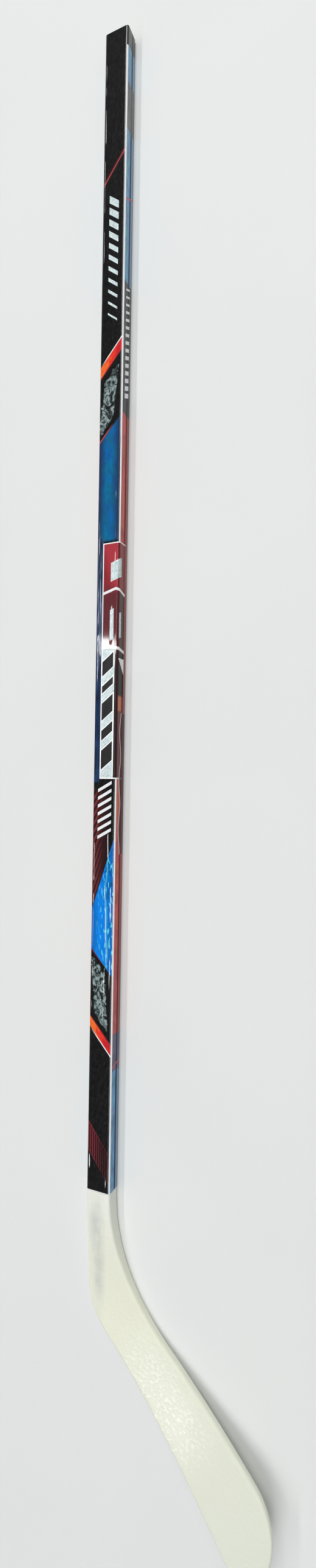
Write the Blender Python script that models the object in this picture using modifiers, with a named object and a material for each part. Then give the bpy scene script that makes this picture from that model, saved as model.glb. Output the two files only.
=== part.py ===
"""Street hockey stick: a laminated wooden shaft in a printed shrink film, with a moulded blade.

Frame: metres, +Z up. The stick lies on the back of its shaft. The origin is the centre of the
shaft's butt end. The shaft runs down -Y from there, the blade leaves it towards +X, and its
hollow face looks up +Z.
"""
import math

import bmesh
import bpy
import numpy as np
from mathutils import Vector

# Driving dimensions, in metres and radians
BUTT_TO_HEEL = 1.422          # along the shaft, to where its outer side meets the line of the sole
HOSEL_LENGTH = 0.1336         # from the film's lower end to the same corner

PLY_COUNT = 7
PLY_THICKNESS = 0.0024
GLUE_LINE = 0.0002            # between neighbouring plies
WOOD_WIDTH = 0.0278
WOOD_CORNER = 0.0020          # radius along the four long edges

FILM_WALL = 0.0002
FILM_GAP = 0.0003             # between the wood and the film
CORNER_STEPS = 5              # faces round a quarter of a corner

TONGUE_LENGTH = 0.118         # the taper that goes into the blade
TONGUE_TIP_WIDTH = 0.014
TONGUE_TIP_PLIES = 2          # plies left at the thin end of the taper
SOCKET_WALL = 0.0030          # plastic beside the tongue at the mouth
SOCKET_GAP = 0.0003           # between the tongue and its socket
RIM_GAP = 0.0003              # between the film's end and the blade's rim

TURN = math.radians(44.1)     # how far the sole turns away from the shaft
FLARE = math.radians(7.0)     # how much wider than parallel the top edge opens from the sole
HEEL_HEIGHT = 0.0472          # blade height square to the sole, at the heel's corner
BLADE_LENGTH = 0.2624         # from the heel's corner to the toe, along the sole
HEEL_RADIUS = 0.0765
HOSEL_STRAIGHT = 0.0076       # straight inner side below the rim, before the throat's curve
CENTRE_RADIUS = 0.100         # bend of the blade's middle line
TOE_TOP = 0.0545              # length of the toe's round end along the top edge
TOE_SOLE = 0.0220             # and along the sole
TOE_TIP = 0.0334              # height of the toe's foremost point above the sole's line
TOE_POWER = 1.75              # 2 is an ellipse, less is more pointed
SOLE_LIFT = 0.0014            # rocker: how far the sole has risen at the toe
LIFT_START = 0.200            # where that begins, from the heel's corner

HEEL_THICKNESS = 0.0110
TOE_THICKNESS = 0.0065
THINNING = 0.120              # length over which the hosel thins to the blade
BLADE_EDGE = 0.0028           # rounding of the blade's edges
HOOK = 0.0358                 # how far the back of the toe stands above the shaft's back
HOOK_START = 0.030            # where the hook begins, from the heel's corner
HOOK_POWER = 1.75

HOSEL_SECTIONS, BEND_SECTIONS, BLADE_SECTIONS, TOE_SECTIONS = 8, 16, 16, 16
EDGE_STEPS = 4                # points round each edge of a section
FACE_STEPS = 8                # points across its face
OUTLINE_STEPS = 60            # points along each curve of the blade's outline
TOE_CUT = 0.0004              # the last section stands this far short of the toe
CUT_MARGIN = 0.020            # how far a cutter or a guide runs past what it cuts

# What follows from them
PLY_PITCH = PLY_THICKNESS + GLUE_LINE
WOOD_THICKNESS = PLY_COUNT * PLY_PITCH - GLUE_LINE
FILM_DEPTH = FILM_GAP + FILM_WALL
SHAFT_WIDTH = WOOD_WIDTH + 2 * FILM_DEPTH
SHAFT_THICKNESS = WOOD_THICKNESS + 2 * FILM_DEPTH
SHAFT_CORNER = WOOD_CORNER + FILM_DEPTH
FILM_END = HOSEL_LENGTH - BUTT_TO_HEEL
RIM = FILM_END - RIM_GAP
BACK = -SHAFT_THICKNESS / 2
HEEL = Vector((-SHAFT_WIDTH / 2, -BUTT_TO_HEEL))


def clear_scene():
    for thing in list(bpy.data.objects):
        bpy.data.objects.remove(thing, do_unlink=True)


def new_collection(name):
    collection = bpy.data.collections.new(name)
    bpy.context.scene.collection.children.link(collection)
    return collection


def new_material(name, colour, roughness, metallic=0.0):
    material = bpy.data.materials.new(name)
    material.use_nodes = True
    shader = material.node_tree.nodes["Principled BSDF"]
    shader.inputs["Base Color"].default_value = (*colour, 1.0)
    shader.inputs["Roughness"].default_value = roughness
    shader.inputs["Metallic"].default_value = metallic
    material.diffuse_color = (*colour, 1.0)
    return material


def mesh_object(name, mesh, collection, material=None):
    thing = bpy.data.objects.new(name, mesh)
    collection.objects.link(thing)
    if material:
        mesh.materials.append(material)
    return thing


def make_guide(thing):
    thing.hide_render = True
    thing.display_type = "WIRE"
    return thing


def add_boolean(thing, operation, other):
    modifier = thing.modifiers.new(operation.lower(), "BOOLEAN")
    modifier.operation = operation
    modifier.solver = "EXACT"
    modifier.object = other


def rounded_rectangle(width, thickness, radius):
    """Corner points of a rectangle with round corners, in order."""
    points = []
    for quarter in range(4):
        side = (1 if quarter in (0, 3) else -1, 1 if quarter < 2 else -1)
        for step in range(CORNER_STEPS + 1):
            angle = math.pi / 2 * (quarter + step / CORNER_STEPS)
            points.append((side[0] * (width / 2 - radius) + radius * math.cos(angle),
                           side[1] * (thickness / 2 - radius) + radius * math.sin(angle)))
    return points


def shaft_curve(name, width, thickness, radius, top, bottom, filled):
    """A round-cornered bar or tube along Y, as a 2D curve that stands across the shaft."""
    curve = bpy.data.curves.new(name, "CURVE")
    curve.dimensions = "2D"
    curve.fill_mode = "BOTH" if filled else "NONE"
    curve.extrude = (top - bottom) / 2
    outline = rounded_rectangle(width, thickness, radius)
    spline = curve.splines.new("POLY")
    spline.points.add(len(outline) - 1)
    for point, (across, up) in zip(spline.points, outline):
        point.co = (across, up, 0, 1)
    spline.use_cyclic_u = True
    thing = bpy.data.objects.new(name, curve)
    thing.rotation_euler = (math.pi / 2, 0, 0)
    thing.location = (0, (top + bottom) / 2, 0)
    return thing


def curve_to_mesh(thing, collection):
    """Turn a curve object into a mesh object with welded caps."""
    collection.objects.link(thing)
    bpy.context.view_layer.update()
    evaluated = thing.evaluated_get(bpy.context.evaluated_depsgraph_get())
    mesh = bpy.data.meshes.new_from_object(evaluated)
    shape = bmesh.new()
    shape.from_mesh(mesh)
    bmesh.ops.remove_doubles(shape, verts=shape.verts, dist=1e-7)
    bmesh.ops.recalc_face_normals(shape, faces=shape.faces)
    shape.to_mesh(mesh)
    shape.free()
    name, place = thing.name, thing.matrix_world.copy()
    bpy.data.objects.remove(thing, do_unlink=True)
    result = mesh_object(name, mesh, collection)
    result.matrix_world = place
    return result


def tongue_bar(name, clearance, collection):
    """The tapered tongue, or with a clearance the socket that it goes into."""
    back = -WOOD_THICKNESS / 2 + PLY_PITCH - GLUE_LINE / 2
    tip_front = back + TONGUE_TIP_PLIES * PLY_PITCH
    mouth_half = SHAFT_WIDTH / 2 - SOCKET_WALL
    shape = bmesh.new()
    bmesh.ops.create_cube(shape, size=2)
    for vertex in shape.verts:
        along = 1 + clearance / TONGUE_LENGTH if vertex.co.y < 0 else -CUT_MARGIN / TONGUE_LENGTH
        half = mouth_half + (TONGUE_TIP_WIDTH / 2 - mouth_half) * along + clearance
        front = -back + (tip_front + back) * along + clearance
        vertex.co = (math.copysign(half, vertex.co.x), FILM_END - TONGUE_LENGTH * along,
                     front if vertex.co.z > 0 else back - clearance)
    mesh = bpy.data.meshes.new(name)
    shape.to_mesh(mesh)
    shape.free()
    return make_guide(mesh_object(name, mesh, collection))


def wood_blank(guides):
    """The glued-up shaft with its tongue, before it is split into plies."""
    bar = shaft_curve("wood_blank", WOOD_WIDTH, WOOD_THICKNESS, WOOD_CORNER, 0, FILM_END, True)
    blank = make_guide(curve_to_mesh(bar, guides))
    add_boolean(blank, "UNION", tongue_bar("tongue", 0, guides))
    return blank


def build_plies(parts, guides, face_wood, core_wood):
    """One slab for each ply, trimmed to the blank."""
    blank = wood_blank(guides)
    bottom = FILM_END - TONGUE_LENGTH - CUT_MARGIN
    for number in range(PLY_COUNT):
        outer = number in (0, PLY_COUNT - 1)
        name = ("face_ply_back" if number == 0 else "face_ply_front") if outer else f"core_ply_{number}"
        shape = bmesh.new()
        bmesh.ops.create_cube(shape, size=1)
        size = Vector((WOOD_WIDTH + CUT_MARGIN, CUT_MARGIN - bottom, PLY_THICKNESS))
        bmesh.ops.scale(shape, vec=size, verts=shape.verts)
        mesh = bpy.data.meshes.new(name)
        shape.to_mesh(mesh)
        shape.free()
        ply = mesh_object(name, mesh, parts, face_wood if outer else core_wood)
        centre = -WOOD_THICKNESS / 2 + PLY_THICKNESS / 2 + number * PLY_PITCH
        ply.location = (0, (CUT_MARGIN + bottom) / 2, centre)
        add_boolean(ply, "INTERSECT", blank)


def build_film(parts, material):
    """The shrink film: an open tube round the wood with a wall added outside."""
    tube = shaft_curve("film_sleeve", WOOD_WIDTH + 2 * FILM_GAP, WOOD_THICKNESS + 2 * FILM_GAP,
                       WOOD_CORNER + FILM_GAP, 0, FILM_END, False)
    sleeve = curve_to_mesh(tube, parts)
    sleeve.data.materials.append(material)
    wall = sleeve.modifiers.new("wall", "SOLIDIFY")
    wall.thickness = FILM_WALL
    wall.offset = 1
    wall.use_even_offset = True


def along(angle):
    """Direction that leaves straight down the shaft and turns towards the blade."""
    return Vector((math.sin(angle), -math.cos(angle)))


def across(angle):
    """Direction square to along(), from the outer side to the inner side."""
    return Vector((math.cos(angle), math.sin(angle)))


def sole_distance(point):
    return (Vector(point) - HEEL).dot(along(TURN))


def sole_line(distance):
    """Height of the sole above its straight line."""
    rise = max(0.0, (distance - LIFT_START) / (BLADE_LENGTH - LIFT_START))
    return SOLE_LIFT * rise ** 2


def top_line(distance):
    """Height of the top edge above the sole's straight line."""
    return HEEL_HEIGHT + distance * math.tan(FLARE)


def blade_point(distance, height):
    return HEEL + distance * along(TURN) + height * across(TURN)


def toe_curve(line, length, rising):
    """One half of the round toe: an edge line drawn in to the height of the tip."""
    points = []
    for step in range(OUTLINE_STEPS + 1):
        angle = math.pi / 2 * step / OUTLINE_STEPS
        reach = math.sin(angle) ** (2 / TOE_POWER)
        keep = max(0.0, math.cos(angle)) ** (2 / TOE_POWER)
        distance = BLADE_LENGTH - length * (1 - reach)
        points.append(blade_point(distance, TOE_TIP + (line(distance) - TOE_TIP) * keep))
    return points if rising else points[::-1]


def arc(centre, radius, start, turn, outward):
    """Points of an arc that starts on the side across(start) and turns by an angle."""
    return [centre + outward * radius * across(start + turn * step / OUTLINE_STEPS)
            for step in range(OUTLINE_STEPS + 1)]


def blade_outline():
    """The blade seen from its face: down the outer side, round the toe and back up."""
    start = RIM + CUT_MARGIN
    heel_centre = HEEL + HEEL_RADIUS * Vector((1, math.tan(TURN / 2)))
    throat_y = RIM - HOSEL_STRAIGHT
    top_start = blade_point(0, top_line(0))
    top_way = along(TURN + FLARE)
    corner = top_start + top_way * (SHAFT_WIDTH / 2 - top_start.x) / top_way.x
    throat_radius = (throat_y - corner.y) / math.tan((TURN + FLARE) / 2)
    throat_centre = Vector((SHAFT_WIDTH / 2 + throat_radius, throat_y))
    sole_end = BLADE_LENGTH - TOE_SOLE
    sole = []
    for step in range(OUTLINE_STEPS):
        distance = LIFT_START + (sole_end - LIFT_START) * step / OUTLINE_STEPS
        sole.append(blade_point(distance, sole_line(distance)))
    return ([Vector((-SHAFT_WIDTH / 2, start))]
            + arc(heel_centre, HEEL_RADIUS, 0, TURN, -1)
            + sole
            + toe_curve(sole_line, TOE_SOLE, True)
            + toe_curve(top_line, TOE_TOP, False)
            + arc(throat_centre, throat_radius, TURN + FLARE, -TURN - FLARE, -1)
            + [Vector((SHAFT_WIDTH / 2, start))])


def middle_path():
    """Stations from the rim round the bend to the toe's tip, each with its place and direction."""
    tip = blade_point(BLADE_LENGTH, TOE_TIP)
    half_heel = blade_point(0, HEEL_HEIGHT / 2)
    way = (tip - half_heel).normalized()
    end_turn = math.atan2(way.x, -way.y)
    corner = half_heel - way * half_heel.x / way.x
    tangent = CENTRE_RADIUS * math.tan(end_turn / 2)
    bend_centre = Vector((CENTRE_RADIUS, corner.y + tangent))
    stations = [(Vector((0, RIM + (bend_centre.y - RIM) * step / HOSEL_SECTIONS)), 0.0)
                for step in range(HOSEL_SECTIONS)]
    for step in range(BEND_SECTIONS):
        angle = end_turn * step / BEND_SECTIONS
        stations.append((bend_centre - CENTRE_RADIUS * across(angle), angle))
    bend_end = bend_centre - CENTRE_RADIUS * across(end_turn)
    length = (tip - bend_end).length - TOE_CUT
    straight = length - TOE_TOP
    stations += [(bend_end + way * straight * step / BLADE_SECTIONS, end_turn)
                 for step in range(BLADE_SECTIONS)]
    for step in range(TOE_SECTIONS + 1):
        reach = math.sin(math.pi / 2 * step / TOE_SECTIONS)
        stations.append((bend_end + way * (straight + (length - straight) * reach), end_turn))
    return stations


def reach_to(outline, place, way):
    """How far the outline lies from a place in one direction: the nearest crossing."""
    start, step = outline[:-1], np.diff(outline, axis=0)
    offset = start - np.array(place)
    turn = step[:, 0] * way[1] - step[:, 1] * way[0]
    turn = np.where(abs(turn) < 1e-15, 1e-15, turn)
    on_edge = (offset[:, 1] * way[0] - offset[:, 0] * way[1]) / turn
    distance = (offset[:, 1] * step[:, 0] - offset[:, 0] * step[:, 1]) / turn
    hit = (on_edge >= 0) & (on_edge <= 1) & (distance > 0)
    return distance[hit].min()


def edge_distance(outline, place):
    """Shortest distance from a place to the outline."""
    start, step = outline[:-1], np.diff(outline, axis=0)
    offset = np.array(place) - start
    share = np.clip((offset * step).sum(1) / np.maximum((step ** 2).sum(1), 1e-18), 0, 1)
    return np.linalg.norm(offset - share[:, None] * step, axis=1).min()


def thinned(place):
    """Share of the change from the hosel's section to the blade's, 0 at the rim."""
    share = min(1.0, max(0.0, (RIM - place[1]) / THINNING))
    return share * share * (3 - 2 * share)


def back_height(place):
    past = max(0.0, (sole_distance(place) - HOOK_START) / (BLADE_LENGTH - HOOK_START))
    return BACK + HOOK * past ** HOOK_POWER


def thickness(place):
    share = min(1.0, max(0.0, sole_distance(place) / BLADE_LENGTH))
    blade = HEEL_THICKNESS + (TOE_THICKNESS - HEEL_THICKNESS) * share
    return SHAFT_THICKNESS + (blade - SHAFT_THICKNESS) * thinned(place)


def edge_drop(place, distance):
    """How far the rounding lowers the face, this close to the outline."""
    radius = SHAFT_CORNER + (BLADE_EDGE - SHAFT_CORNER) * thinned(place)
    inside = max(0.0, 1 - distance / radius)
    return radius * (1 - math.sqrt(max(0.0, 1 - inside * inside)))


def section_shares(width):
    """Where the points of a section lie across it, closer together in its round edges."""
    edge = min(BLADE_EDGE / width, 0.3)
    rounded = [edge * (1 - math.cos(math.pi / 2 * step / EDGE_STEPS)) for step in range(EDGE_STEPS)]
    flat = [edge + (1 - 2 * edge) * step / FACE_STEPS for step in range(FACE_STEPS + 1)]
    return rounded + flat + [1 - share for share in reversed(rounded)]


def blade_section(outline, place, angle):
    """A closed ring: over the hollow face from the outer side, and back over the other face."""
    way = across(angle)
    outer = place - way * reach_to(outline, place, -way)
    inner = place + way * reach_to(outline, place, way)
    front, rear = [], []
    for share in section_shares((inner - outer).length):
        spot = outer.lerp(inner, share)
        drop = edge_drop(spot, edge_distance(outline, spot))
        low = back_height(spot)
        front.append((*spot, low + thickness(spot) - drop))
        rear.append((*spot, low + drop))
    return front + rear[::-1]


def build_blade(parts, guides, material):
    """The moulded blade: a loft from the hosel's rim to the toe, with the tongue's socket cut out."""
    outline = np.array([tuple(point) for point in blade_outline()])
    shape = bmesh.new()
    rings = [[shape.verts.new(point) for point in blade_section(outline, place, angle)]
             for place, angle in middle_path()]
    for ring, following in zip(rings, rings[1:]):
        for index in range(len(ring)):
            after = (index + 1) % len(ring)
            shape.faces.new((ring[index], ring[after], following[after], following[index]))
    shape.faces.new(rings[0])
    shape.faces.new(rings[-1])
    bmesh.ops.recalc_face_normals(shape, faces=shape.faces)
    mesh = bpy.data.meshes.new("blade")
    shape.to_mesh(mesh)
    shape.free()
    blade = mesh_object("blade", mesh, parts, material)
    blade.data.shade_smooth()
    blade.data.set_sharp_from_angle(angle=math.radians(40))
    add_boolean(blade, "DIFFERENCE", tongue_bar("socket", SOCKET_GAP, guides))


def main():
    clear_scene()
    parts = new_collection("street_hockey_stick")
    guides = new_collection("guides")
    face_wood = new_material("face_wood", (0.62, 0.44, 0.26), 0.6)
    core_wood = new_material("core_wood", (0.72, 0.58, 0.38), 0.65)
    film = new_material("printed_film", (0.02, 0.02, 0.025), 0.2)
    plastic = new_material("ivory_plastic", (0.80, 0.80, 0.68), 0.4)
    build_plies(parts, guides, face_wood, core_wood)
    build_film(parts, film)
    build_blade(parts, guides, plastic)


main()
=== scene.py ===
# %% [markdown]
# # A street hockey stick
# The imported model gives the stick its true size: a shaft glued up from seven wooden plies, the thin
# printed film shrunk round it, and a moulded plastic blade pushed onto the shaft's tongue. This
# lesson keeps the plies and gives them wood, and makes the film and the blade again as finer
# meshes in the same places. Everything is in metres. The stick lies on the back of its shaft, its
# butt end is at the origin and the shaft runs down -Y.

# %% Load the frame
import math

import bmesh
import bpy
import numpy as np
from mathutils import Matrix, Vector


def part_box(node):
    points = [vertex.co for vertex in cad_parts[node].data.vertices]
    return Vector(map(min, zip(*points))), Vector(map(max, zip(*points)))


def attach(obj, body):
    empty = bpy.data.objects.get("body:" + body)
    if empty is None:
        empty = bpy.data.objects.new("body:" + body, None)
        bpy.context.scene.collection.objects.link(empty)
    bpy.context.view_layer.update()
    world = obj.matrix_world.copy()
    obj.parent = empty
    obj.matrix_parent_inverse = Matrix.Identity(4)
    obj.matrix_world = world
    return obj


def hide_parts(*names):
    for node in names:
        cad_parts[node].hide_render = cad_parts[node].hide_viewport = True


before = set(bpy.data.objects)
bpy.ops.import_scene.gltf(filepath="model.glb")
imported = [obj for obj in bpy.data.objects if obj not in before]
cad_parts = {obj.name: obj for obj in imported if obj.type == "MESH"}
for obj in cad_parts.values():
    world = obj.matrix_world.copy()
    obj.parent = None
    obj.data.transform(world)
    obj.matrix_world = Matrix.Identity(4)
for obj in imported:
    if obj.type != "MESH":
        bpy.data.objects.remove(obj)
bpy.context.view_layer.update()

print("pieces in the frame:", ", ".join(sorted(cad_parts)))

# %% [markdown]
# ## Sizes from the frame
# The film's box holds the shaft's width and thickness, the height of the floor under it, and the
# place where the film ends and the blade begins. Reading them here, and not typing them again,
# keeps the looks on the model when a size is changed.

# %% Shaft sizes
film_low, film_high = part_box("film_sleeve")
SHAFT_WIDTH = film_high.x - film_low.x
SHAFT_THICKNESS = film_high.z - film_low.z
SHAFT_CORNER = 0.0025
FILM_WALL = 0.0002
FILM_END = film_low.y
BACK = film_low.z
print(f"shaft {SHAFT_WIDTH * 1000:.1f} by {SHAFT_THICKNESS * 1000:.1f} mm")
print(f"film {-FILM_END * 1000:.1f} mm long")

# %% [markdown]
# ## Camera
# The picture is a tall one, taken from close above the middle of the stick with a very wide lens
# and a little from the blade's side. A wide lens that near makes both ends run away from the
# viewer, so its place and angle matter more than they would from afar. They came from fitting the
# shaft's edges, the film's end and the blade's outline.

# %% Put the camera over the shaft
CAMERA_PLACE = (0.34156, -0.85059, 0.63949)
CAMERA_TURN = (1.093, 23.734, 0.959)      # degrees about X, Y and Z
CAMERA_LENS = 14.894                      # millimetres, for a picture 36 mm high

camera_data = bpy.data.cameras.new("camera")
camera_data.lens = CAMERA_LENS
camera_data.sensor_width = 36
camera_data.clip_start = 0.01
camera = bpy.data.objects.new("camera", camera_data)
camera.location = CAMERA_PLACE
camera.rotation_euler = [math.radians(angle) for angle in CAMERA_TURN]
bpy.context.scene.collection.objects.link(camera)
bpy.context.scene.camera = camera
print(f"camera {CAMERA_PLACE[2] - BACK:.2f} m above the floor")

# %% [markdown]
# ## Numbers that vary over a surface
# Every finish here is worked out from the place on the object, in nodes, and so is the room's
# light. Wiring nodes by hand takes many lines, so this small class stands for one node's output and
# turns ordinary arithmetic into Math nodes. `rise`, `past`, `before` and `band` make soft-edged
# masks, and `noise` gives an uneven pattern. The last of these cells holds the few lines that start
# every mesh and every material.

# %% Arithmetic on nodes
class Field:
    """A number or colour that varies over a surface: one output of a node."""

    def __init__(self, tree, socket):
        self.tree, self.socket = tree, socket

    def __add__(self, other):
        return calculate("ADD", self, other)

    def __sub__(self, other):
        return calculate("SUBTRACT", self, other)

    def __rsub__(self, other):
        return calculate("SUBTRACT", other, self)

    def __mul__(self, other):
        return calculate("MULTIPLY", self, other)

    def __truediv__(self, other):
        return calculate("DIVIDE", self, other)

    def rise(self, low, high):
        """0 below low, 1 above high. With low above high it falls instead."""
        node = self.tree.nodes.new("ShaderNodeMapRange")
        fill(node, Value=self, From_Min=low, From_Max=high)
        return Field(self.tree, node.outputs["Result"])

    def past(self, edge, soft=0.2):
        """0 before an edge, 1 past it."""
        return self.rise(edge - soft / 2, edge + soft / 2)

    def before(self, edge, soft=0.2):
        """1 before an edge, 0 past it."""
        return self.rise(edge + soft / 2, edge - soft / 2)

    def band(self, low, high, soft=0.2):
        """1 between low and high."""
        return self.past(low, soft) * self.before(high, soft)


def plug(value, socket):
    """Wire a Field to a socket, or set a plain number or colour on it."""
    if isinstance(value, Field):
        value.tree.links.new(value.socket, socket)
    else:
        socket.default_value = (*value, 1.0) if socket.type == "RGBA" else value


def fill(node, **inputs):
    """Wire or set some of a node's inputs, whose names are given with _ for a space."""
    for name, value in inputs.items():
        plug(value, node.inputs[name.replace("_", " ")])


def given(tree, kind, name):
    """What a node without inputs tells, such as a place or the kind of ray."""
    return Field(tree, tree.nodes.new("ShaderNode" + kind).outputs[name])


def calculate(operation, *values, kind="Math"):
    """The kind is Math for numbers and VectorMath for places."""
    tree = next(value.tree for value in values if isinstance(value, Field))
    node = tree.nodes.new("ShaderNode" + kind)
    node.operation = operation
    for value, socket in zip(values, node.inputs):
        plug(value, socket)
    return Field(tree, node.outputs[0])


print("node arithmetic ready")

# %% Patterns and colours on nodes
def noise(place, stretch, detail=3.0, roughness=0.5, distortion=0.0):
    """Uneven pattern from 0 to 1. stretch is how many changes fit in a unit along X, Y and Z."""
    stretched = calculate("MULTIPLY", place, stretch, kind="VectorMath")
    node = place.tree.nodes.new("ShaderNodeTexNoise")
    fill(node, Vector=stretched, Scale=1, Detail=detail, Roughness=roughness, Distortion=distortion)
    return Field(place.tree, node.outputs["Fac"])


def mixed(first, second, share):
    """Colour between first and second, which are colours or Fields."""
    node = share.tree.nodes.new("ShaderNodeMix")
    node.data_type = "RGBA"
    fill(node, Factor=share, A=first, B=second)
    return Field(share.tree, node.outputs["Result"])


def scaled(colour, factor):
    return tuple(value * factor for value in colour)


print("patterns and colours ready")

# %% Start a mesh or a material
MILLIMETRES = 1000.0      # in a metre


def mesh_object(name, shape):
    """An object in the scene made from a bmesh, which is used up."""
    mesh = bpy.data.meshes.new(name)
    shape.to_mesh(mesh)
    shape.free()
    thing = bpy.data.objects.new(name, mesh)
    bpy.context.scene.collection.objects.link(thing)
    return thing


def smooth(thing, angle):
    """Shade smooth, but keep edges sharp where faces meet at more than an angle in degrees."""
    thing.data.shade_smooth()
    thing.data.set_sharp_from_angle(angle=math.radians(angle))


def new_material(name):
    """A material with its shader, and the place on the object in millimetres."""
    material = bpy.data.materials.new(name)
    material.use_nodes = True
    tree = material.node_tree
    metres = given(tree, "TexCoord", "Object")
    place = calculate("MULTIPLY", metres, (MILLIMETRES,) * 3, kind="VectorMath")
    return material, tree.nodes["Principled BSDF"], place


def parts_of(place):
    """X, Y and Z of a place."""
    node = place.tree.nodes.new("ShaderNodeSeparateXYZ")
    fill(node, Vector=place)
    return [Field(place.tree, output) for output in node.outputs]


def bumped(shader, height, depth):
    """Give the shader a relief, height times depth in metres."""
    node = height.tree.nodes.new("ShaderNodeBump")
    fill(node, Distance=depth, Height=height)
    fill(shader, Normal=Field(height.tree, node.outputs["Normal"]))


print("mesh and material helpers ready")

# %% [markdown]
# ## Light
# The shadow beside the shaft is about half as wide as the shaft is thick, clean at its outer edge
# and only a quarter darker than the floor. So a long row of tubes runs along the stick, up and to
# the left, and gives about a fifth of the light. Its mirror image lies a degree or two off the flat
# of the film, so the film stays dark and only its creases glint, wherever they are along the shaft.
# A large soft lamp overhead and another beyond the butt end give most of the light. The second one
# leans in low enough to reach the floor under the raised edge of the blade, which would be black
# without it. Both stand where the film doesn't mirror them, and the room itself is dim overhead:
# that keeps the glossy black dark in a bright scene. Near the horizon the eye and the gloss see
# pale walls, which light the stick itself much less, and the eye sees them overhead too. Two weak
# lamps stand where the film at mid length and the face of the blade mirror them.

# %% Lamps and room
# Each lamp's name, place, size, power in watts, and tilt about X in degrees.
LAMPS = (("strip_lamp", (-1.62, 0.30, 3.50), (0.07, 8.4), 44.0, 0),
         ("soft_lamp", (0.30, -2.40, 4.00), (2.2, 3.0), 57.0, 0),
         ("back_lamp", (0.60, 4.00, 5.00), (3.0, 3.0), 255.0, -45),
         ("round_lamp", (-1.725, 0.124, 3.21), (0.26, 0.10), 2.3, 0),
         ("blade_lamp", (-1.80, -4.30, 3.50), (0.20, 0.20), 3.0, 0))
ROOM_OVERHEAD, ROOM_SIDE, ROOM_SIDE_LIGHT = 0.20, 0.86, 0.28     # strengths
ROOM_TINT = (0.99, 1.0, 1.0)
WALL_TOP, CEILING_START = 0.08, 0.55      # sines of the angles above the horizon


def add_lamp(name, place, size, power, tilt):
    """An area lamp, turned about Y to face the stick, so that a strip stays parallel to it."""
    data = bpy.data.lights.new(name, "AREA")
    data.shape = "ELLIPSE" if name.startswith("round") else "RECTANGLE"
    data.size, data.size_y = size
    data.energy = power
    lamp = bpy.data.objects.new(name, data)
    lamp.location = place
    lamp.rotation_euler = (math.radians(tilt), math.atan2(place[0], place[2]), 0)
    bpy.context.scene.collection.objects.link(lamp)


def light_room():
    """Pale walls that fade to a dim ceiling. The eye sees the walls' colour everywhere."""
    room = bpy.data.worlds.new("room")
    bpy.context.scene.world = room
    room.use_nodes = True
    sky = room.node_tree
    eye, gloss = given(sky, "LightPath", "Is Camera Ray"), given(sky, "LightPath", "Is Glossy Ray")
    x, y, up = parts_of(given(sky, "TexCoord", "Generated"))
    walls = calculate("MAXIMUM", eye, gloss) * (ROOM_SIDE - ROOM_SIDE_LIGHT) + ROOM_SIDE_LIGHT
    ceiling = eye * (ROOM_SIDE - ROOM_OVERHEAD) + ROOM_OVERHEAD
    fade = sky.nodes.new("ShaderNodeMapRange")
    fade.interpolation_type = "SMOOTHSTEP"
    fill(fade, Value=up, From_Min=WALL_TOP, From_Max=CEILING_START, To_Min=walls, To_Max=ceiling)
    fill(sky.nodes["Background"], Color=ROOM_TINT, Strength=Field(sky, fade.outputs["Result"]))


for lamp in LAMPS:
    add_lamp(*lamp)
light_room()
bpy.context.scene.view_settings.view_transform = "Standard"
print("lamps:", len(bpy.data.lights))

# %% [markdown]
# ## Floor
# The stick lies on something plain and almost white. A big plane does it: the colour is only a
# little below white, so that it doesn't clip where the lamp falls on it, and it is faintly cool. A
# fine unevenness keeps it from looking like paper cut-out. Metres away from the stick, where the
# lamps don't reach, the eye sees the room's pale colour in its place, so that there is no dark
# horizon from the side.

# %% Lay the floor
FLOOR_SIZE = 12.0
FLOOR_COLOUR = (0.790, 0.805, 0.795)
FLOOR_SHADOWED = (0.770, 0.790, 0.785)
FLOOR_FADE = (1800, 4200)      # millimetres from its middle


def make_floor_paint():
    material, shader, place = new_material("floor_paint")
    mottle = noise(place, (0.004, 0.004, 0.004)).rise(0.35, 0.65)
    paint = mixed(FLOOR_COLOUR, FLOOR_SHADOWED, mottle)
    fill(shader, Base_Color=paint, Roughness=0.6, Specular_IOR_Level=0.2)
    tree = material.node_tree
    haze = tree.nodes.new("ShaderNodeEmission")
    fill(haze, Color=ROOM_TINT, Strength=ROOM_SIDE)
    x, y, z = parts_of(place)
    far = calculate("SQRT", x * x + y * y).rise(*FLOOR_FADE)
    faded = tree.nodes.new("ShaderNodeMixShader")
    fill(faded, Fac=far * given(tree, "LightPath", "Is Camera Ray"))
    tree.links.new(shader.outputs[0], faded.inputs[1])
    tree.links.new(haze.outputs[0], faded.inputs[2])
    tree.links.new(faded.outputs[0], tree.nodes["Material Output"].inputs["Surface"])
    return material


floor_shape = bmesh.new()
bmesh.ops.create_grid(floor_shape, x_segments=8, y_segments=8, size=FLOOR_SIZE / 2)
floor = mesh_object("floor", floor_shape)
floor.location = (0, FILM_END / 2, BACK)
floor.data.materials.append(make_floor_paint())
print("floor", FLOOR_SIZE, "m across at", round(BACK, 4))

# %% [markdown]
# ## The wooden plies
# The shaft is a stack of hardwood plies, glued flat to flat. Only their end grain shows, at the
# butt, as seven bands with thin dark glue lines between. Wood is easiest as a solid pattern: long
# fibres along Y, so that any cut through them shows the right face, streaks along the sides and
# fine pores on the end. The two face plies are a browner veneer and the core plies alternate in
# tone, as sheets from different logs do.

# %% Wood
FACE_LIGHT, FACE_DARK = (0.56, 0.38, 0.21), (0.33, 0.19, 0.09)
CORE_LIGHT, CORE_DARK = (0.70, 0.55, 0.35), (0.50, 0.35, 0.19)
PORE_COLOUR = (0.16, 0.09, 0.045)
DARKER_CORE = 0.86         # tone of every second core ply
PLY_SHIFT = 11.0           # millimetres between the pieces of pattern that the plies show
PORE_DEPTH = 0.00012       # metres


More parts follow.
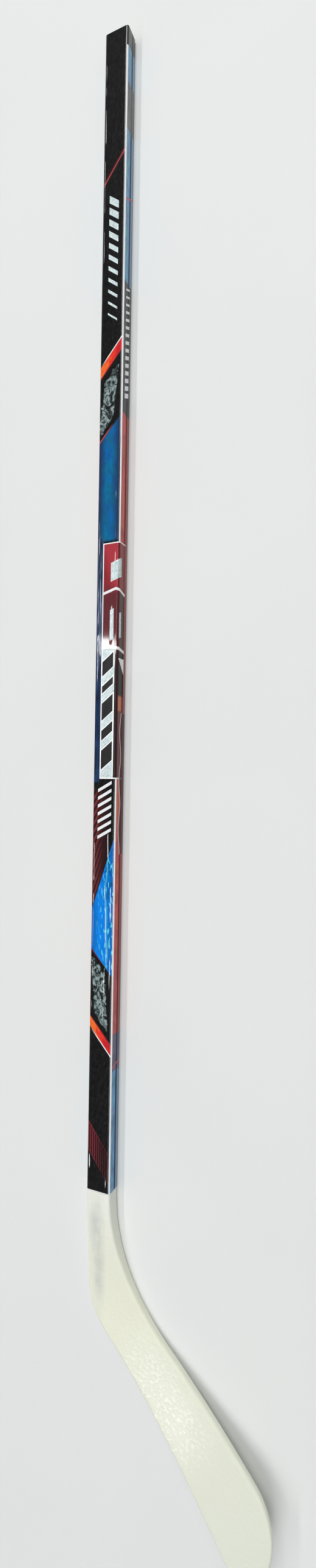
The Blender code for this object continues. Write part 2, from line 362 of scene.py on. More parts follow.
def make_wood(name, light, dark, shift):
    material, shader, place = new_material(name)
    grain_place = calculate("ADD", place, (shift, shift * 7, shift * 3), kind="VectorMath")
    rings = noise(grain_place, (0.35, 0.006, 1.1), detail=2, distortion=0.6)
    fibres = noise(grain_place, (2.2, 0.03, 2.2), detail=4, roughness=0.6)
    pores = noise(grain_place, (4.5, 0.10, 4.5), detail=1).rise(0.64, 0.70)
    tone = mixed(light, dark, (rings * 1.6 + fibres * 0.7 - 0.65).rise(0.1, 0.9))
    fill(shader, Base_Color=mixed(tone, PORE_COLOUR, pores * 0.7), Roughness=fibres * 0.25 + 0.5)
    bumped(shader, fibres - pores * 0.8, PORE_DEPTH)
    return material


plies = ["face_ply_back"] + [f"core_ply_{number}" for number in range(1, 6)] + ["face_ply_front"]
for number, ply in enumerate(plies):
    light, dark = (FACE_LIGHT, FACE_DARK) if ply.startswith("face") else (CORE_LIGHT, CORE_DARK)
    tone = DARKER_CORE if number in (2, 4) else 1.0
    wood = make_wood(f"{ply}_wood", scaled(light, tone), scaled(dark, tone), PLY_SHIFT * number)
    for place_in_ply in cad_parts[ply].material_slots:
        place_in_ply.material = wood
print("wood on", len(plies), "plies")

# %% [markdown]
# ## The film: its shape
# The printed film is a thin tube, heat-shrunk onto the wood. It follows the rounded rectangle of
# the shaft and never lies quite flat: it draws into shallow wrinkles that run lengthwise. Faint
# ones are scattered all round with a fixed seed. On the wide faces there are also creases, a few
# hundredths of a millimetre deep, and those are what glints: one flank of each leans to the right
# by the two degrees that send the row of tubes to the eye. A bump map is too coarse for slopes this
# small and fine, so all of them are pressed into the mesh. A grid round the section and along the
# shaft is simplest, with a ring closing each end to the inner wall.

# %% Points round the shaft's section
CORNER_STEPS, WIDE_STEPS, SIDE_STEPS = 8, 68, 12


def section_points():
    """Place and outward direction of each point, once round the section."""
    half_width, half_thick = SHAFT_WIDTH / 2 - SHAFT_CORNER, SHAFT_THICKNESS / 2 - SHAFT_CORNER
    corners = ((1, 1), (1, -1), (-1, -1), (-1, 1))
    points = []
    for number, (right, front) in enumerate(corners):
        centre = Vector((right * half_width, front * half_thick))
        start = math.pi / 2 * (1 - number)
        for step in range(CORNER_STEPS + 1):
            angle = start - math.pi / 2 * step / CORNER_STEPS
            outward = Vector((math.cos(angle), math.sin(angle)))
            points.append((centre + outward * SHAFT_CORNER, outward))
        onward = corners[(number + 1) % 4]
        goal = Vector((onward[0] * half_width, onward[1] * half_thick)) + outward * SHAFT_CORNER
        begin = points[-1][0]
        steps = SIDE_STEPS if number in (0, 2) else WIDE_STEPS
        points += [(begin.lerp(goal, step / steps), outward) for step in range(1, steps)]
    return points


def girth_places(points):
    """Distance of each point round the section, in millimetres, 0 at the front's middle."""
    places = np.array([tuple(point) for point, _ in points])
    steps = np.linalg.norm(np.roll(places, -1, 0) - places, axis=1)
    distance = SHAFT_WIDTH / 2 - SHAFT_CORNER + np.concatenate(([0], np.cumsum(steps)[:-1]))
    girth = steps.sum()
    return np.where(distance > girth / 2, distance - girth, distance) * MILLIMETRES, girth


section = section_points()
girth_place, girth = girth_places(section)
print("points round the section:", len(section), " girth", round(girth * MILLIMETRES, 1), "mm")

# %% Wrinkles in the film
WRINKLE_COUNT, WRINKLE_SEED = 60, 7


def wrinkle_list():
    """Place round the section, start and end down the shaft, half width and depth of each."""
    scatter = np.random.RandomState(WRINKLE_SEED)
    half_girth = (SHAFT_WIDTH + SHAFT_THICKNESS) * MILLIMETRES
    return [(scatter.uniform(-half_girth, half_girth), start, start + scatter.uniform(40, 260),
             scatter.uniform(1.0, 2.2), scatter.uniform(0.005, 0.018))
            for start in scatter.uniform(-40, -FILM_END * MILLIMETRES, WRINKLE_COUNT)]


def wrinkle_depth(around, down):
    """Depth of the wrinkles, in millimetres, on a grid of places round and down the film."""
    depth = np.zeros(np.broadcast(around, down).shape)
    for middle, start, end, half_width, deep in wrinkle_list():
        wander = 0.35 * np.sin(down / 17 + middle) + 0.25 * np.sin(down / 41 + start)
        crest = np.exp(-((around - middle - wander) / half_width) ** 2)
        fade = np.clip((down - start) / 25, 0, 1) * np.clip((end - down) / 25, 0, 1)
        depth += deep * crest * fade * (0.75 + 0.25 * np.sin(down / 6.3 + middle))
    return depth


print("wrinkles:", len(wrinkle_list()))

# %% Creases in the film
FLANK_SLOPE, SLOPE_CHANGE = math.radians(1.94), math.radians(0.043)     # at the middle, and for each mm
# Place across a wide face, start and end down the shaft, and what else crease() takes. The ones near
# the left edge come first.
CREASES = ((-11.0, 30, 285, 0.9, 0.1, 1.8), (-10.6, 520, 745, 1.3, 0.3, 1.6),
           (-8.0, 560, 700, 1.0, 0.3, 1.4), (-10.9, 895, 1062, 1.2, 0.2, 1.8), (-7.2, 898, 930),
           (-11.0, 1075, 1105, 1.2, 0.1), (-10.2, 1243, 1287, 2.2, 0.5), (9.3, 516, 530, 1.2, 0.1),
           (9.5, 548, 612, 1.3, 0.2, 1.2), (5.6, 622, 745, 2.2, 0.7, 1.4), (11.0, 640, 735, 1.1, 0.1),
           (6.8, 893, 940, 1.6, 0.6), (4.4, 935, 1108, 1.1, 1.1, 2.2), (10.6, 935, 1090, 1.2, 0.2),
           (9.6, 1250, 1287, 1.3))


def crease(around, down, middle, start, end, flank=1.2, wander=0.3, unbroken=1.0):
    """Depth of one crease: a small valley round a line, that wanders and comes and goes."""
    drift = wander * (np.sin(down / 19 + middle) + 0.6 * np.sin(down / 7.3 + start))
    half_girth = girth * MILLIMETRES / 2
    beside = (around - middle - drift) % half_girth
    beside = np.minimum(beside, half_girth - beside)
    patches = unbroken + 1.4 * np.sin(down / 11 + 3 * middle) + 1.0 * np.sin(down / 4.3 + start)
    ends = np.clip((down - start) / 6, 0, 1) * np.clip((end - down) / 6, 0, 1)
    deep = math.tan(FLANK_SLOPE - SLOPE_CHANGE * middle) * flank
    return deep * np.clip(1 - beside / flank, 0, 1) * np.clip(patches, 0, 1) * ends


print("creases:", len(CREASES), " lean", round(math.degrees(FLANK_SLOPE), 2), "degrees")

# %% Build the film
FILM_ROWS = 324
DEEPEST = 0.16      # millimetres, less than the film's wall


def build_film():
    around, count = np.array([tuple(point) for point, _ in section]), len(section)
    outward = np.array([tuple(way) for _, way in section])
    down = np.linspace(0, -FILM_END, FILM_ROWS + 1)
    places = girth_place[None, :], down[:, None] * MILLIMETRES
    creases = sum(crease(*places, *numbers) for numbers in CREASES)
    depth = np.minimum(wrinkle_depth(*places) + creases, DEEPEST) / MILLIMETRES
    verts = []
    for row, place in enumerate(down):
        skin = around - outward * depth[row][:, None]
        verts += [(x, -place, z) for x, z in skin]
    lining = around - outward * FILM_WALL
    for place in (0, -FILM_END):
        verts += [(x, -place, z) for x, z in lining]
    faces = []
    for row in range(FILM_ROWS):
        for index in range(count):
            after = (index + 1) % count
            faces.append((row * count + index, row * count + after,
                          (row + 1) * count + after, (row + 1) * count + index))
    near, far = (FILM_ROWS + 1) * count, (FILM_ROWS + 2) * count
    last = FILM_ROWS * count
    for index in range(count):
        after = (index + 1) % count
        faces.append((near + after, near + index, far + index, far + after))
        faces.append((near + index, near + after, after, index))
        faces.append((last + index, last + after, far + after, far + index))
    mesh = bpy.data.meshes.new("film")
    mesh.from_pydata(verts, [], faces)
    shape = bmesh.new()
    shape.from_mesh(mesh)
    bpy.data.meshes.remove(mesh)
    bmesh.ops.recalc_face_normals(shape, faces=shape.faces)
    film = mesh_object("film", shape)
    smooth(film, 50)
    return film


film = build_film()
print("film faces:", len(film.data.polygons))

# %% [markdown]
# ## The film: a flat pattern for its texture
# When a long thin tube is unwrapped automatically, its one strip has to fit in a square picture
# and loses nearly all its detail. A printer's way is better: cut the sleeve into a few lengths,
# open each out flat and lay them side by side. The map is named OFBake.

# %% Lay the film out flat
FLAT_LENGTHS = 4
LAY_GAP = 0.002


def lay_out(film):
    mesh = film.data
    flat = mesh.uv_layers.new(name="OFBake")
    length = -FILM_END / FLAT_LENGTHS
    page = FLAT_LENGTHS * (girth + LAY_GAP)
    count = len(section)
    wide = (np.arange(count + 1) / count) * girth
    steps = np.diff(girth_place) % (girth * MILLIMETRES)
    wide[:count] = np.concatenate(([0], np.cumsum(steps))) / MILLIMETRES
    wide[count] = girth
    places = np.zeros((len(mesh.loops), 2))
    for number, face in enumerate(mesh.polygons):
        if number < FILM_ROWS * count:
            row, index = divmod(number, count)
            strip = row * FLAT_LENGTHS // FILM_ROWS
            for loop in face.loop_indices:
                vertex = mesh.loops[loop].vertex_index
                at_row, at_index = divmod(vertex, count)
                across = wide[index + 1] if at_index != index else wide[index]
                along = at_row / FILM_ROWS * -FILM_END - strip * length
                places[loop] = (LAY_GAP / 2 + strip * (girth + LAY_GAP) + across, along)
        else:
            index, kind = divmod(number - FILM_ROWS * count, 3)
            for corner, loop in enumerate(face.loop_indices):
                places[loop] = (index / count * page + (corner in (1, 2)) * page / count,
                                length + LAY_GAP * (1 + 2 * kind) + (corner > 1) * LAY_GAP)
    flat.uv.foreach_set("vector", (places / page).astype(np.float32).ravel())
    return page


page = lay_out(film)
print("flat pattern", round(page * MILLIMETRES), "mm wide")

# %% [markdown]
# ## The print
# The film is printed all over: black along the wide faces, broken by slanting stripes in orange
# and red, smoky grey marble and blue, with a red panel at mid length, and strong colours along the
# narrow sides. A thin white line marks one long corner. The same print comes twice round the
# shaft, turned by half a turn. A picture file would do it, but a formula stays sharp at any
# distance. `across` starts at the middle of a wide face and goes on round the corner and down the
# side, and `down` is the distance from the butt, both in millimetres.

# %% Inks
BLACK, SOFT_BLACK = (0.0012, 0.0012, 0.0016), (0.0135, 0.0130, 0.0140)
GREY, LIGHT_GREY = (0.036, 0.036, 0.040), (0.115, 0.115, 0.122)
WHITE = (0.86, 0.87, 0.88)
RED, DEEP_RED = (0.78, 0.036, 0.022), (0.56, 0.014, 0.022)
ORANGE = (0.87, 0.155, 0.028)
DARK_RED = (0.13, 0.014, 0.018)
PINK_RED = (0.42, 0.075, 0.085)
CRIMSON = (0.40, 0.038, 0.054)
MAROON = (0.13, 0.026, 0.034)
THREAD_RED, BAND_RED, BAND_EDGE_RED = (0.17, 0.030, 0.030), (0.20, 0.022, 0.032), (0.17, 0.020, 0.030)
NAVY, DIM_NAVY = (0.012, 0.034, 0.095), (0.006, 0.012, 0.034)
BLUE, TEAL = (0.001, 0.135, 0.42), (0.001, 0.165, 0.33)
AZURE = (0.001, 0.225, 0.80)
# Colour of the painted glints on the azure field.
GLINT_CYAN = (0.10, 0.60, 0.82)
SMOKE, PALE_SMOKE = (0.060, 0.095, 0.100), (0.36, 0.45, 0.45)
STEEL_BLUE, DARK_STEEL, PALE_STEEL = (0.115, 0.32, 0.56), (0.010, 0.038, 0.130), (0.19, 0.32, 0.45)
STEEL_TEAL = (0.10, 0.40, 0.46)
SIDE_RED, SIDE_DARK_RED, SIDE_DULL_RED = (0.56, 0.072, 0.068), (0.165, 0.012, 0.012), (0.33, 0.085, 0.082)
BROWN, RED_BROWN = (0.080, 0.038, 0.034), (0.215, 0.048, 0.040)
# The first is the colour of the painted glints on the navy strip.
GLINT_NAVY, VIOLET = (0.11, 0.15, 0.24), (0.20, 0.20, 0.34)
DUSK, PALE_DUSK = (0.14, 0.115, 0.19), (0.15, 0.13, 0.17)
SIDE_ORANGE = (0.62, 0.17, 0.075)
FOIL = (0.66, 0.77, 0.78)
print("inks mixed")

# %% The sheet of film
FRONT_EDGE, SIDE_START = 13.1, 15.7      # the white corner line lies between these
LINE_START, LINE_END = 24.0, 27.3        # the dark line along a narrow side


class Sheet:
    """The print as it grows: the colour so far, and how much of each place is foil."""

    def __init__(self, place):
        x, y, z = parts_of(place)
        width, thick = SHAFT_WIDTH * MILLIMETRES, SHAFT_THICKNESS * MILLIMETRES
        half_turn = calculate("SIGN", x / width + z / thick)
        self.place = place
        self.down = y * -1.0
        self.across = x * half_turn + (thick / 2 - z * half_turn)
        self.on_face = self.across.before(FRONT_EDGE - 0.1)
        self.on_side = self.across.past(SIDE_START)
        self.dark_line = self.across.band(LINE_START, LINE_END, 1.0)
        self.mottle = self.noise(0.13, 0.05, 5, 0.6)
        self.colour = mixed(BLACK, SOFT_BLACK, self.noise(0.55, 0.22, 5, 0.65).rise(0.38, 0.68))
        self.crinkle = self.noise(0.45, 0.30, 5, 0.65, 1.0).rise(0.35, 0.6)
        self.foil = None

    def noise(self, around, along, *rest):
        """An uneven pattern that changes faster around the shaft than along it."""
        return noise(self.place, (around, along, around), *rest)

    def slanted(self, slope):
        """The distance down the shaft, but measured to lines that slant across it."""
        return self.down + self.across * slope

    def ink(self, mask, colour):
        self.colour = mixed(self.colour, colour, mask)

    def add_foil(self, mask):
        self.ink(mask, mixed(scaled(FOIL, 0.62), FOIL, self.crinkle))
        self.foil = mask if self.foil is None else either(self.foil, mask)


def either(*masks):
    """The greatest of some masks."""
    result = masks[0]
    for mask in masks[1:]:
        result = calculate("MAXIMUM", result, mask)
    return result


def repeated(field, pitch):
    """Position inside each repeat, from 0 to 1."""
    return calculate("FRACT", field / pitch)


def sine(field):
    return calculate("SINE", field)


print("sheet ready")

# %% Wide faces: stripes
STRIPE_SLANT, THIN_SLANT, AZURE_SLANT = 1.125, 1.3, 3.0      # mm down for each mm across


def print_butt_end(sheet):
    """Black, with one thin red line, down to the first orange stripe."""
    slant = sheet.slanted(THIN_SLANT)
    sheet.ink(slant.band(153.0, 157.8, 1.0) * sheet.on_face, DARK_RED)
    sheet.ink(slant.band(155.2, 156.9, 0.6) * sheet.on_face, PINK_RED)


def print_stripe(sheet, slant, low, high, white_low, dark_low):
    """A slanting stripe, orange blotches at the left and red at the right, with a white edge."""
    streaks = noise(combined(slant / 3.4, sheet.across / 6.5), (1, 1, 1), detail=3, distortion=0.6)
    redness = sheet.across / 40.0 + streaks
    red = mixed(RED, DEEP_RED, redness.rise(0.58, 0.72))
    sheet.ink(slant.band(low, high) * sheet.on_face, mixed(ORANGE, red, redness.rise(0.32, 0.44)))
    faint = sheet.across.rise(-12, -4) * sheet.on_face
    sheet.ink(slant.band(white_low, white_low + 1.7) * faint, WHITE)
    sheet.ink(slant.band(dark_low, dark_low + 1.6) * sheet.on_face, DARK_RED)


def print_marble(sheet, region, lean):
    """Pale torn smoke on black, densest in the middle. lean moves its edges down the shaft."""
    torn = noise(sheet.place, (0.070, 0.062, 0.070), 5, 0.58, 3.0)
    inner = (sheet.across + lean).band(-10.0, 8.0, 4.0)
    fine = sheet.noise(0.20, 0.13, 4, 0.6, 1.5)
    smoke = (region * inner + torn * 1.7 - 1.0).rise(0.66, 0.90)
    greys = mixed(SMOKE, PALE_SMOKE, (fine + torn).rise(0.86, 1.22))
    sheet.ink(smoke * (fine.rise(0.38, 0.50) * 0.85 + 0.15), greys)


def combined(first, second):
    """A place on a plane, from two Fields."""
    node = first.tree.nodes.new("ShaderNodeCombineXYZ")
    fill(node, X=first, Y=second)
    return Field(first.tree, node.outputs[0])


def print_blue(sheet, region, deep, bright, other):
    """A mottled blue field, brightest down its middle."""
    clouds = sheet.noise(0.10, 0.055, 7, 0.68).rise(0.30, 0.58)
    middle = sheet.across.band(-8.0, 7.0, 8.0)
    lively = mixed(bright, other, sheet.mottle.rise(0.4, 0.6))
    sheet.ink(region, mixed(deep, lively, middle * (clouds * 0.65 + 0.35)))


print("stripes planned")

# %% Wide faces: fields
BLUE_START, AZURE_START, AZURE_END = 449.6, 941.0, 1038.4      # at the middle of the face
BAND_START, BAND_END = 1229.5, 1261.6


def print_wide_faces(sheet):
    """From the butt end down: stripe, marble and blue, then azure, marble and stripe."""
    upper, lower = sheet.slanted(STRIPE_SLANT), sheet.slanted(-STRIPE_SLANT)
    print_butt_end(sheet)
    print_marble(sheet, upper.band(384, 444, 10.0), (sheet.down - 405) / 9.0)
    blue = upper.past(BLUE_START, 0.4) * sheet.down.before(573.5, 3) * sheet.on_face
    print_blue(sheet, blue, NAVY, BLUE, TEAL)
    left_part = sheet.across.before(0, 8)
    sheet.ink(upper.band(446.8, 449.2) * left_part, PINK_RED)
    print_stripe(sheet, upper, low=363.5, high=376.2, white_low=361.9, dark_low=376.2)
    azure = sheet.slanted(AZURE_SLANT).past(AZURE_START, 0.4) * lower.before(AZURE_END, 0.4)
    print_marble(sheet, lower.band(1043, 1108, 10.0), (1090 - sheet.down) / 14.0)
    print_azure(sheet, azure * sheet.on_face)
    sheet.ink(lower.band(AZURE_END, AZURE_END + 1.8) * left_part, DARK_RED)
    print_stripe(sheet, lower, low=1113.2, high=1124.2, white_low=1124.2, dark_low=1111.6)


print("fields planned")

# %% Wide faces: azure and weave
def print_azure(sheet, azure):
    """A bright field with dark patches, and painted glints: cyan flecks and a cyan line along a crease."""
    print_blue(sheet, azure, scaled(AZURE, 0.62), AZURE, scaled(AZURE, 1.15))
    patches = sheet.noise(0.20, 0.10, 3).rise(0.50, 0.58) * sheet.across.rise(-4, 2)
    sheet.ink(azure * patches * sheet.down.before(970, 40), scaled(AZURE, 0.4))
    # Painted highlights: the cyan flecks and the winding cyan line, which follows the crease at 4.4 mm,
    # stand in for glints.
    glint_flecks = sheet.noise(0.50, 0.13, 0).rise(0.655, 0.68) * sheet.across.rise(-9, 3)
    sheet.ink(azure * glint_flecks, GLINT_CYAN)
    glint_path = sine(sheet.down / 19 + 4.4) * 1.1 + sine(sheet.down / 7.3 + 935) * 0.66
    sheet.ink(azure * (sheet.across - glint_path).band(4.2, 5.6, 0.9), scaled(GLINT_CYAN, 0.7))


def print_weave(sheet):
    """Dark red woven threads beside the azure, and a band of lengthwise threads near the end."""
    steep = sheet.slanted(AZURE_SLANT)
    twill = sine(sheet.down * 0.67 + sheet.across * 1.15) * sheet.down.before(910, 10)
    twill = twill + sine(steep * 0.52) * sheet.down.past(910, 10)
    upper = sheet.down.past(852, 12) * steep.before(940.2, 0.8) * sheet.on_face
    sheet.ink(upper * sheet.across.before(2.5, 9) * 0.7, scaled(MAROON, 0.36))
    threads = (twill + sheet.mottle * 2.0 - 1.0).rise(-0.3, 0.6) * sheet.across.before(-5, 8)
    sheet.ink(upper * threads, THREAD_RED)
    slant = sheet.slanted(-THIN_SLANT)
    fade = (sheet.across.before(-1, 10) * 0.75 + 0.25) * sheet.on_face
    wobble = noise(sheet.place, (0.0, 0.03, 0.0), detail=1) * 2.0
    lengthwise = sine(sheet.across * 2.45 + wobble).rise(-0.5, 0.5)
    sheet.ink(slant.band(BAND_START, BAND_END, 0.6) * lengthwise * fade, BAND_RED)
    edges = slant.band(BAND_START, BAND_START + 1.4, 0.4) + slant.band(BAND_END - 1.2, BAND_END, 0.4)
    sheet.ink(edges * fade, BAND_EDGE_RED)


print("azure and weave planned")

# %% Wide faces: bars
BARS_START, BAR_PITCH, BAR_COUNT = 190.0, 13.2, 10
HATCH_START, HATCH_PITCH, HATCH_COUNT = 844.0, 8.6, 7


def print_bars(sheet):
    """Slanting foil bars that thin out along the shaft, and a short white hatching further down."""
    bars = sheet.slanted(-0.8) - BARS_START
    thickness = bars.rise(150, -10) * 0.60 + 0.12
    inside = bars.band(0, BAR_PITCH * BAR_COUNT + 3) * sheet.across.band(-5.4, 6.2)
    sheet.add_foil(inside * (thickness - repeated(bars, BAR_PITCH)).rise(0, 0.02))
    hatching = sheet.slanted(0.55) - HATCH_START
    lines = repeated(hatching, HATCH_PITCH).band(0.0, 0.42, 0.03)
    inside = hatching.band(0, HATCH_PITCH * HATCH_COUNT - 4) * sheet.across.band(-7.8, 8.8)
    sheet.ink(lines * inside, WHITE)


print("bars:", BAR_COUNT, " hatching lines:", HATCH_COUNT)

# %% Wide faces: the panel's blocks and ground
PANEL_START, PANEL_END, PANEL_LEFT, PANEL_RIGHT = 576.0, 837.0, -6.4, 27.5
BLOCKS_START, BLOCKS_RIGHT, OUTLINE = 694.0, 9.8, 1.3
BLOCK_LIST = ((704, 16), (731, 8), (750, 19), (780, 11), (802, 21))      # start and length


def print_blocks(sheet, inside):
    """Slanting black blocks of different lengths on foil, and a wedge beside the first of them."""
    on_foil = inside * sheet.down.past(BLOCKS_START + 0.25, 0.5)
    on_foil = on_foil * sheet.across.before(BLOCKS_RIGHT + 0.2, 0.4)
    sheet.add_foil(on_foil)
    slanting = sheet.slanted(0.8)
    for start, length in BLOCK_LIST:
        lined = slanting.band(start - OUTLINE, start + length + OUTLINE)
        black = slanting.band(start, start + length)
        sheet.ink(on_foil * lined * sheet.across.before(BLOCKS_RIGHT, 0.4), WHITE)
        sheet.ink(on_foil * black * sheet.across.band(PANEL_LEFT + OUTLINE, 8.4), BLACK)
    from_first = sheet.down - BLOCK_LIST[0][0]
    wedge = ((sheet.across - 14.5) * 1.35 - from_first).rise(0, 0.5) * from_first.rise(0, 0.5)
    sheet.ink(inside * wedge * sheet.on_side, WHITE)


def panel_ground(sheet):
    """Crimson, then maroon, then black, and duller colours on the narrow side."""
    down, across = sheet.down, sheet.across
    bright = (across + (620 - down) / 3 + sheet.mottle * 12 - 6).rise(0, 10)
    ground = mixed(scaled(CRIMSON, 0.66), scaled(CRIMSON, 1.04), bright)
    ground = mixed(ground, MAROON, (down + sheet.mottle * 16).rise(630, 642))
    ground = mixed(ground, BLACK, (down + sheet.mottle * 20).rise(696, 712))
    for colour, reach in ((BROWN, down.band(630, 695, 6)), (RED_BROWN, down.before(629, 6)),
                          (scaled(SIDE_DULL_RED, 0.5), down.past(746, 4))):
        ground = mixed(ground, colour, sheet.on_side * reach * 0.9)
    return mixed(ground, scaled(MAROON, 0.4), across.band(12.6, 15.2, 0.6) * 0.8)


print("blocks:", len(BLOCK_LIST))

# %% Wide faces: the whole panel
def print_panel(sheet):
    """The panel at mid length, with a navy strip at its left with painted glints, foil blocks and silver
    lines.
    """
    down, across = sheet.down, sheet.across
    inside = down.band(PANEL_START, PANEL_END) * across.band(PANEL_LEFT, PANEL_RIGHT)
    strip = down.band(570, PANEL_END + 4) * across.before(PANEL_LEFT)
    sheet.ink(strip, mixed(DIM_NAVY, scaled(NAVY, 1.3), sheet.mottle.rise(0.38, 0.66)))
    # Painted highlight: pale lengthwise streaks on the navy strip stand in for glints.
    glint_streaks = sheet.noise(0.30, 0.03, 3).rise(0.42, 0.60)
    sheet.ink(strip * glint_streaks * down.before(715, 50) * 0.6, GLINT_NAVY)
    sheet.ink(inside, panel_ground(sheet))
    near = sheet.on_side * across.before(23, 1)
    sheet.ink(inside * near * down.band(746, 762, 3), SIDE_ORANGE)
    print_blocks(sheet, inside)
    slant = sheet.slanted(0.35)
    sheet.add_foil(inside * either(slant.band(600, 621) * across.band(3.7, 19.5),
                                   slant.band(652, 686) * across.band(3.4, 8.0),
                                   slant.band(660, 688) * across.band(15.6, 20.0)))
    bend = calculate("ABSOLUTE", across - 10.0) * 0.3
    lines = either((down - bend).band(626, 629), sheet.slanted(-0.2).band(689, 692.4),
                   across.band(PANEL_LEFT, PANEL_LEFT + OUTLINE),
                   across.band(8.8, 10.0) * down.past(744.5, 1),
                   down.band(PANEL_START, PANEL_START + OUTLINE),
                   down.band(PANEL_END - 1.4, PANEL_END))
    sheet.ink(lines * inside, WHITE)


print("panel planned")

# %% Narrow sides
BLUES, GREYS = (STEEL_BLUE, DARK_STEEL, PALE_STEEL), (GREY,) * 3
SIDE_FIELDS = ((0, GREYS), (22, BLUES), (62, (LIGHT_GREY,) * 3), (115, BLUES), (285, GREYS),
               (432, (SIDE_RED, SIDE_DARK_RED, SIDE_DULL_RED)),
               (1116, (DUSK, DARK_STEEL, PALE_DUSK)), (1157, BLUES))


def side_field(sheet, start, colour, dark_line_colour, far):
    """A field of the narrow side: mottled, with a dark line along it and a paler far edge."""
    lively = mixed(scaled(colour, 0.62), scaled(colour, 1.15), sheet.mottle.rise(0.34, 0.62))
    lively = mixed(lively, far, sheet.across.past(LINE_END, 2))
    edge = (sheet.down + sheet.mottle * 6 - 3).past(start, 1)
    sheet.ink(sheet.on_side * edge, mixed(lively, dark_line_colour, sheet.dark_line))


def print_sides(sheet):
    """Each field covers what lies further down, so they are printed from the butt end on."""
    for start, colours in SIDE_FIELDS:
        side_field(sheet, start, *colours)
    down, near = sheet.down, sheet.on_side * sheet.across.before(LINE_START - 1, 2)
    blues = near * (down.band(23, 61, 4) + down.band(117, 283, 4) + down.band(1160, 1200, 10))
    patches = sheet.noise(0.10, 0.06, 3, 0.6)
    sheet.ink(blues * patches.rise(0.50, 0.62) * 0.8, STEEL_TEAL)
    sheet.ink(blues * patches.rise(0.44, 0.34) * 0.5, VIOLET)
    glow = sheet.noise(0.05, 0.024, 3).rise(0.45, 0.62)
    warm = down.band(433, 560, 6) + down.band(745, 1060, 20)
    sheet.ink(near * glow * warm * 0.7, SIDE_ORANGE)
    red_lines = either(sheet.slanted(0.6).band(202.4, 204.2), sheet.slanted(0.3).band(1156, 1157.8))
    sheet.ink(sheet.on_side * red_lines, scaled(SIDE_RED, 1.1))


print("fields on the sides:", len(SIDE_FIELDS))

# %% Marks on the narrow sides
TICKS_START, TICK_PITCH, TICK_COUNT = 302.0, 8.4, 15


def print_side_marks(sheet):
    """Slanting ticks that grow along the grey field, and a silver wave beside the panel's end."""
    ticks = sheet.slanted(0.5) - TICKS_START
    thickness = ticks.rise(-20, 120) * 0.42 + 0.22
    inside = ticks.band(0, TICK_PITCH * TICK_COUNT) * sheet.across.band(20.0, 28.6)
    sheet.ink(inside * (thickness - repeated(ticks, TICK_PITCH)).rise(0, 0.03), WHITE)
    from_wave = sheet.across - (sine(sheet.down * 0.118) * 1.7 + 22.6)
    beside = sheet.down.band(764, 920) * sheet.on_side
    sheet.ink(beside * from_wave.rise(0, 0.2) * 0.85, scaled(MAROON, 0.55))
    sheet.ink(beside * calculate("ABSOLUTE", from_wave).rise(0.8, 0.5), scaled(WHITE, 0.75))


def print_white_line(sheet):
    """The thin line down one long corner, which stops at the panel and goes on after it."""
    mask = sheet.across.band(FRONT_EDGE, SIDE_START) * sheet.down.past(22, 0.4)
    sheet.ink(mask * (1.0 - sheet.down.band(PANEL_START, PANEL_END)), WHITE)


print("ticks:", TICK_COUNT)

# %% [markdown]
# ## The film: its finish
# Over the ink lies clear, glossy plastic. One shader holds both: the print is the base colour and
# a low roughness gives the gloss, a little uneven where hands have smeared it. Foil areas are part
# metal and crinkled. A darker line runs along each narrow side, and the shine is turned down along
# it. The film's cut end and its inside are bare, pale plastic, on a second material.

# %% Film materials
FILM_IOR = 1.42
RIPPLE_HEIGHT = 0.00002    # metres
PALE_END = 0.5             # unprinted margin at the film's end, in millimetres
BARE_PLASTIC = (0.70, 0.71, 0.72), (0.82, 0.83, 0.83)


def make_print():
    material, shader, place = new_material("printed_film")
    sheet = Sheet(place)
    print_wide_faces(sheet)
    print_weave(sheet)
    print_bars(sheet)
    print_sides(sheet)
    print_panel(sheet)
    print_side_marks(sheet)
    print_white_line(sheet)
    end = -FILM_END * MILLIMETRES - PALE_END
    sheet.ink(sheet.down.past(end), WHITE)
    smears, ripples = sheet.noise(0.20, 0.01, 3), sheet.noise(0.22, 0.008, 1)
    fill(shader, Base_Color=sheet.colour, Metallic=sheet.foil * 0.25, IOR=FILM_IOR,
         Roughness=smears * 0.035 + sheet.foil * 0.25 + 0.03,
         Specular_IOR_Level=0.5 - sheet.on_side * sheet.dark_line * 0.4)
    bumped(shader, ripples + sheet.crinkle * sheet.foil * 0.8, RIPPLE_HEIGHT)
    return material


def make_film_back():
    material, shader, place = new_material("film_back")
    cloud = noise(place, (0.3, 0.05, 0.3))
    fill(shader, Base_Color=mixed(*BARE_PLASTIC, cloud), Roughness=cloud * 0.2 + 0.25)
    return material


film.data.materials.append(make_print())
film.data.materials.append(make_film_back())
printed = FILM_ROWS * len(section)
for number, face in enumerate(film.data.polygons):
    face.material_index = 0 if number < printed else 1
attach(film, "root")
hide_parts("film_sleeve")
print("print nodes:", len(film.data.materials[0].node_tree.nodes))

# %% [markdown]
# ## The blade: its outline
# Seen from its face the blade is a hosel as wide as the shaft, a heel with a wide round, a sole
# that is straight nearly to its end, a round toe and a top edge that opens a little from the sole
# and runs into the shaft through the throat. A few lines, two arcs and two quarter curves at the
# toe describe all of it: the same formulas as in the solid model, with more points.

